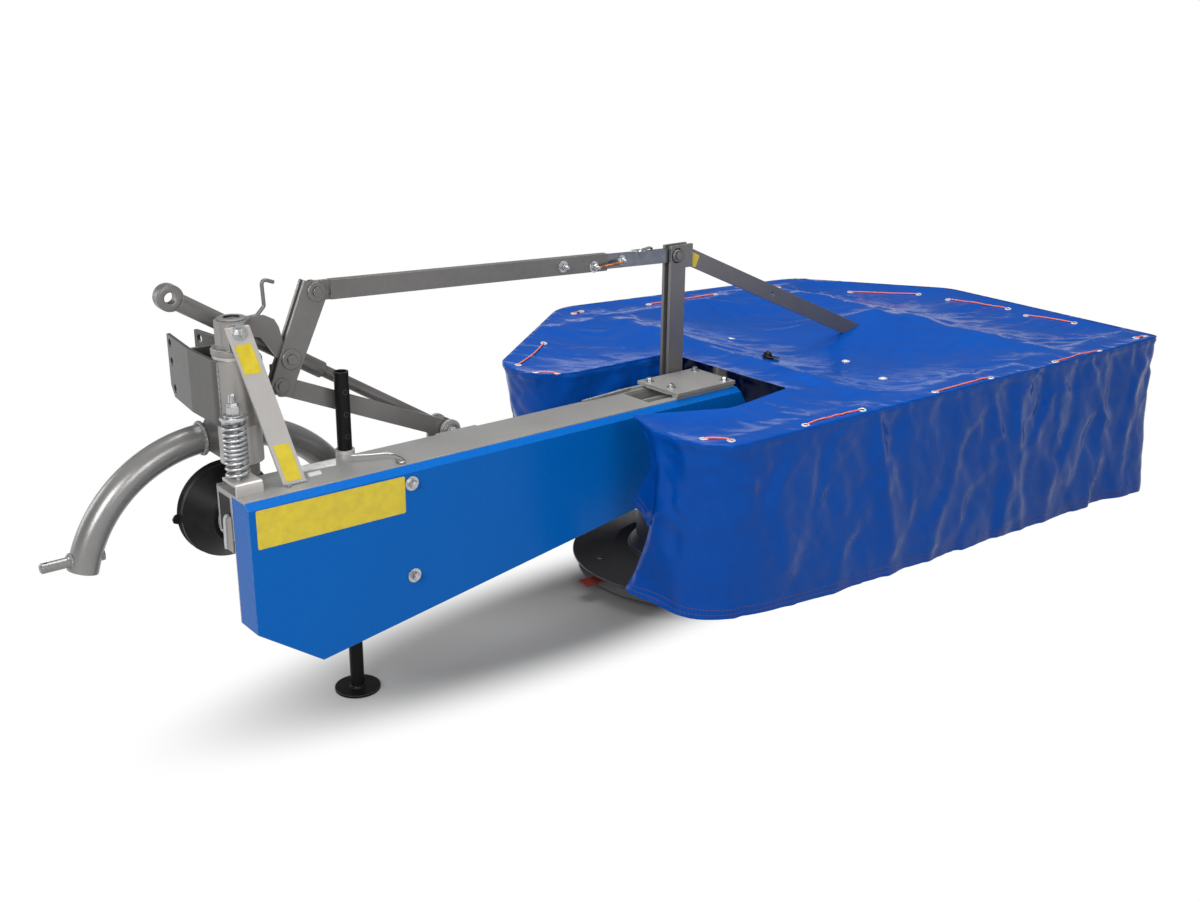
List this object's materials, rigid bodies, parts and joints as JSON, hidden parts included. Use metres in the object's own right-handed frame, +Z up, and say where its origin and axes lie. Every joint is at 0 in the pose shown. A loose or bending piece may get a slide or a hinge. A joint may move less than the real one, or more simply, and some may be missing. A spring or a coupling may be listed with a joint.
{
  "type": "rotary drum mower",
  "caption": "Offset rotary drum mower: three-point headstock, swinging beam with belt guard, cutting drums with knife discs under a tarpaulin cover.",
  "frame": {"origin": "on the floor at the middle of the footprint", "axes": "+X out along the beam, +Y the driving direction, +Z up"},
  "size_m": [3.0356, 1.353, 0.9795],
  "materials": {
    "grey_paint": "satin",
    "blue_paint": "gloss",
    "black_paint": "satin",
    "red_paint": "satin",
    "bare_steel": "worn",
    "zinc": "galvanised",
    "black_plastic": "matt",
    "black_rubber": "matt",
    "blue_cloth": "gloss",
    "disc_steel": "worn"
  },
  "bodies": {
    "headstock": {"headstock_column": "grey_paint", "top_link_bracket": "grey_paint", "hitch_arch": "grey_paint", "arch_saddle": "grey_paint", "hitch_pin_left": "zinc", "hitch_pin_right": "zinc"},
    "swing_frame": {"swivel_pin": "black_paint", "swivel_cap": "grey_paint", "swivel_brace": "grey_paint", "beam": "grey_paint", "beam_deck": "grey_paint", "pivot_head": "grey_paint", "end_plate": "grey_paint", "end_gusset": "grey_paint", "belt_guard": "blue_paint", "guard_back_plate": "blue_paint", "tensioner_bracket": "zinc", "tensioner_spring": "zinc", "tensioner_rod": "zinc", "input_housing": "grey_paint", "pto_guard": "black_plastic", "stand_sleeve": "grey_paint", "lever_bracket": "grey_paint", "lever": "grey_paint", "lower_bar": "grey_paint", "beam_pin_bracket": "grey_paint", "stay_rest": "black_rubber", "latch_rod": "zinc"},
    "input_shaft": {"pto_input_shaft": "bare_steel"},
    "stand": {"parking_stand": "black_paint"},
    "stay": {"stay_rod": "grey_paint", "stay_tube": "grey_paint"},
    "upper_link": {"upper_link_tube": "grey_paint"},
    "upper_link_slider": {"upper_link_bar": "grey_paint"},
    "drum_unit": {"tilt_journal": "bare_steel", "mast": "grey_paint", "gear_housing": "grey_paint", "mast_brace": "grey_paint", "brace_post": "grey_paint", "skid_left": "disc_steel", "skid_right": "disc_steel", "spindle_left": "grey_paint", "spindle_right": "grey_paint", "cover_rail_rear": "grey_paint", "cover_rail_front": "grey_paint", "cover_bearer_left": "grey_paint", "cover_bearer_right": "grey_paint", "cover_top": "blue_cloth", "skirt_front_left": "blue_cloth", "skirt_left_rear": "blue_cloth", "skirt_rear": "blue_cloth", "skirt_right": "blue_cloth", "skirt_front_right": "blue_cloth", "skirt_front": "blue_cloth"},
    "rotor_left": {"drum_left": "blue_paint", "knife_disc_left": "disc_steel", "knives_left": "red_paint"},
    "rotor_right": {"drum_right": "blue_paint", "knife_disc_right": "disc_steel", "knives_right": "red_paint"}
  },
  "joints": [
    {"name": "beam_swing", "type": "hinge", "parent": "headstock", "child": "swing_frame", "pos_m": [-1.12225, -0.0485, 0.6], "axis": [0, 0, 1], "range_deg": [-90, 0]},
    {"name": "pto_input_spin", "type": "hinge", "parent": "swing_frame", "child": "input_shaft", "pos_m": [-1.12025, 0.0115, 0.468], "axis": [0, 1, 0], "continuous": true},
    {"name": "stand_slide", "type": "slide", "parent": "swing_frame", "child": "stand", "axis": [0, 0, 1], "range_m": [0, 0.3]},
    {"name": "stay_hinge", "type": "hinge", "parent": "swing_frame", "child": "stay", "pos_m": [-0.60925, -0.0145, 0.571], "axis": [0, 1, 0], "range_deg": [0, 30]},
    {"name": "upper_link_hinge", "type": "hinge", "parent": "swing_frame", "child": "upper_link", "pos_m": [-0.93075, -0.0365, 0.94], "axis": [0, -1, 0], "range_deg": [-0.5, 0.5]},
    {"name": "upper_link_slide", "type": "slide", "parent": "upper_link", "child": "upper_link_slider", "axis": [0.9993, 0, -0.037], "range_m": [-0.062, 0.062]},
    {"name": "drum_tilt", "type": "hinge", "parent": "swing_frame", "child": "drum_unit", "pos_m": [0.11775, -0.1135, 0.475], "axis": [0, -1, 0], "range_deg": [-8, 8]},
    {"name": "rotor_left_spin", "type": "hinge", "parent": "drum_unit", "child": "rotor_left", "pos_m": [0.16575, -0.0485, 0.08], "axis": [0, 0, 1], "continuous": true},
    {"name": "rotor_right_spin", "type": "hinge", "parent": "drum_unit", "child": "rotor_right", "pos_m": [0.99075, -0.0485, 0.08], "axis": [0, 0, 1], "continuous": true}
  ],
  "couplings": [
    {"joint": "upper_link_hinge", "follows": "drum_tilt", "ratio": -0.0378},
    {"joint": "upper_link_slide", "follows": "drum_tilt", "m_per_rad": -0.4235},
    {"joint": "rotor_right_spin", "follows": "rotor_left_spin", "ratio": -1},
    {"joint": "pto_input_spin", "follows": "rotor_left_spin", "ratio": 0.3}
  ]
}
